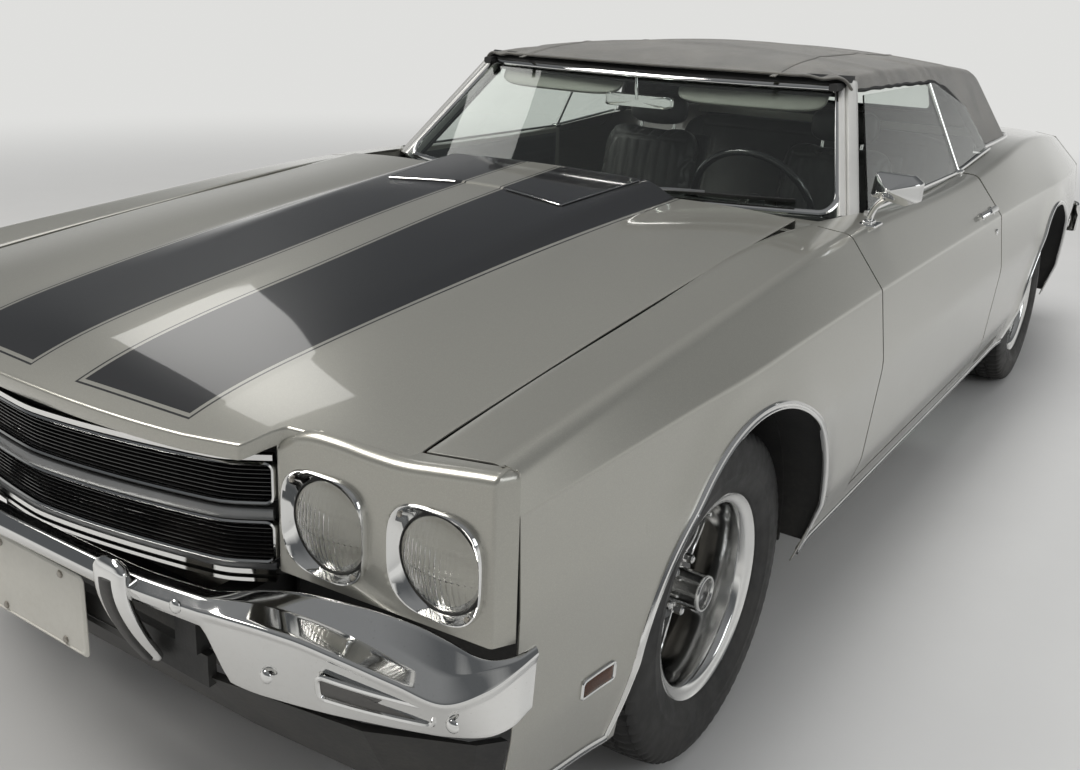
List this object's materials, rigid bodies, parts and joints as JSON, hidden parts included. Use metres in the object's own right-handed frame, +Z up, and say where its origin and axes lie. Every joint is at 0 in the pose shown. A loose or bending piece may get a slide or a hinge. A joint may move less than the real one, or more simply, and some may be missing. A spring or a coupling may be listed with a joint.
{
  "type": "muscle car",
  "caption": "Two-door convertible muscle car with its soft top raised, a striped hood with a raised dome, deep-dish five-spoke wheels and chrome bumpers.",
  "frame": {"origin": "on the floor under the middle of the car's bounding box, where its wheels stand", "axes": "+Z up; the front of the car faces -Y and its length runs along Y; +X is the driver's (left) side"},
  "size_m": [1.9138, 5.009, 1.3314],
  "materials": {
    "chassis_black": "satin black painted steel",
    "cast_grey": "rough grey casting",
    "plain_steel": "bare and plated steel",
    "body_paint": "pale silver gloss paint",
    "inner_black": "dull dark paint on sheet steel",
    "lamp_glass": "clear fluted lamp glass",
    "grille_black": "black grille",
    "chrome": "bright polished chrome",
    "plate_paint": "blank painted plate",
    "lamp_red": "red lamp lens",
    "clear_glass": "lightly tinted clear glass",
    "top_cloth": "dark coated cloth",
    "dash_black": "dark grained plastic",
    "seat_vinyl": "dark pleated vinyl",
    "wheel_chrome": "polished wheel",
    "tyre_rubber": "black rubber"
  },
  "bodies": {
    "chassis": {"chassis_frame": "chassis_black", "suspension": "chassis_black", "rear_axle": "chassis_black", "engine_block": "cast_grey", "driveline": "cast_grey", "exhaust": "plain_steel", "fuel_tank": "plain_steel", "floor_pan": "inner_black", "firewall": "inner_black", "cowl_panel": "body_paint", "wheel_wells": "inner_black", "radiator": "plain_steel", "rockers": "body_paint", "fenders": "body_paint", "bezels": "body_paint", "headlamps": "lamp_glass", "grille": "grille_black", "front_bumper": "chrome", "front_valance": "body_paint", "plates": "plate_paint", "quarters": "body_paint", "rear_deck_panel": "body_paint", "tail_panel": "body_paint", "rear_bumper": "chrome", "tail_lamps": "lamp_red", "windshield_frame": "body_paint", "windshield_glass": "clear_glass", "soft_top": "top_cloth", "rear_window": "clear_glass", "quarter_glass": "clear_glass", "dashboard": "dash_black", "interior_mirror": "dash_black", "console": "dash_black", "seats_front": "seat_vinyl", "seat_rear": "seat_vinyl"},
    "steering": {"steering_wheel": "dash_black"},
    "knuckle_l": {"knuckle_left": "chassis_black"},
    "knuckle_r": {"knuckle_right": "chassis_black"},
    "wheel_fl": {"rim_front_left": "wheel_chrome", "tyre_front_left": "tyre_rubber"},
    "wheel_fr": {"rim_front_right": "wheel_chrome", "tyre_front_right": "tyre_rubber"},
    "wheel_rl": {"rim_rear_left": "wheel_chrome", "tyre_rear_left": "tyre_rubber"},
    "wheel_rr": {"rim_rear_right": "wheel_chrome", "tyre_rear_right": "tyre_rubber"},
    "door_l": {"door_left": "body_paint", "door_glass_left": "clear_glass", "door_mirror": "chrome"},
    "door_r": {"door_right": "body_paint", "door_glass_right": "clear_glass"},
    "hood_lid": {"hood": "body_paint"},
    "deck": {"deck_lid": "body_paint"}
  },
  "joints": [
    {"name": "steer_left", "type": "hinge", "parent": "chassis", "child": "knuckle_l", "pos_m": [0.69, -1.5745, 0.338], "axis": [0, 0, 1], "range_deg": [-30, 30]},
    {"name": "steer_right", "type": "hinge", "parent": "chassis", "child": "knuckle_r", "pos_m": [-0.69, -1.5745, 0.338], "axis": [0, 0, 1], "range_deg": [-30, 30]},
    {"name": "steering_wheel_turn", "type": "hinge", "parent": "chassis", "child": "steering", "pos_m": [0.365, -0.35, 0.87], "axis": [0, 0.9272, 0.3746], "range_deg": [-480, 480]},
    {"name": "wheel_front_left_spin", "type": "hinge", "parent": "knuckle_l", "child": "wheel_fl", "pos_m": [0.76, -1.5745, 0.338], "axis": [1, 0, 0], "continuous": true},
    {"name": "wheel_front_right_spin", "type": "hinge", "parent": "knuckle_r", "child": "wheel_fr", "pos_m": [-0.76, -1.5745, 0.338], "axis": [1, 0, 0], "continuous": true},
    {"name": "wheel_rear_left_spin", "type": "hinge", "parent": "chassis", "child": "wheel_rl", "pos_m": [0.76, 1.2705, 0.338], "axis": [1, 0, 0], "continuous": true},
    {"name": "wheel_rear_right_spin", "type": "hinge", "parent": "chassis", "child": "wheel_rr", "pos_m": [-0.76, 1.2705, 0.338], "axis": [1, 0, 0], "continuous": true},
    {"name": "door_left_swing", "type": "hinge", "parent": "chassis", "child": "door_l", "pos_m": [0.957, -0.881, 0.64], "axis": [0, 0, -1], "range_deg": [0, 65]},
    {"name": "door_right_swing", "type": "hinge", "parent": "chassis", "child": "door_r", "pos_m": [-0.957, -0.881, 0.64], "axis": [0, 0, 1], "range_deg": [0, 65]},
    {"name": "hood_lift", "type": "hinge", "parent": "chassis", "child": "hood_lid", "pos_m": [0, -0.93, 0.938], "axis": [-1, 0, 0], "range_deg": [0, 50]},
    {"name": "deck_lid_lift", "type": "hinge", "parent": "chassis", "child": "deck", "pos_m": [0, 1.398, 0.99], "axis": [1, 0, 0], "range_deg": [0, 60]}
  ],
  "couplings": [
    {"joint": "steer_right", "follows": "steer_left", "ratio": 1},
    {"joint": "steering_wheel_turn", "follows": "steer_left", "ratio": 16}
  ]
}
